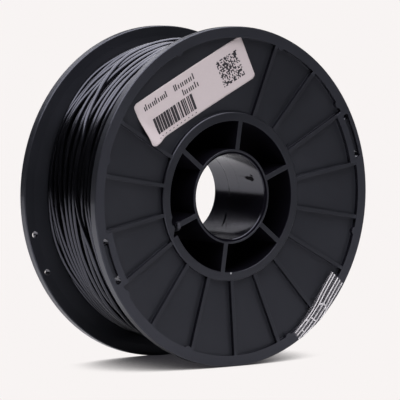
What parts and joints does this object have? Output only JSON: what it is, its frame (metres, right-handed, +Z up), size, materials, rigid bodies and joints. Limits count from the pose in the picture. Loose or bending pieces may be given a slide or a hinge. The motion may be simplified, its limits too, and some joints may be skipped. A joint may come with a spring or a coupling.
{
  "type": "filament spool",
  "caption": "Flanged plastic spool wound with 3D-printer filament, with a central spindle bore, ribbed dished flanges and clip slots for the filament's end.",
  "frame": {"origin": "on the bore's axis, at mid-width between the two rim faces", "axes": "+Y along the bore axis, from the labelled front flange towards the rear flange; +Z up as the spool stands on its rims; +X to the right as seen from the front flange"},
  "size_m": [0.203, 0.0788, 0.203],
  "materials": {
    "spool_plastic": "semi-matt moulded charcoal polystyrene",
    "filament": "glossy extruded black strand",
    "label_paper": "smooth white thermal label",
    "tape_film": "clear film over dark plastic, with white reinforcing strands"
  },
  "bodies": {
    "root": {"front_half": "spool_plastic", "rear_half": "spool_plastic", "filament_winding": "filament", "paper_label": "label_paper", "tape_strip": "tape_film"}
  },
  "joints": []
}
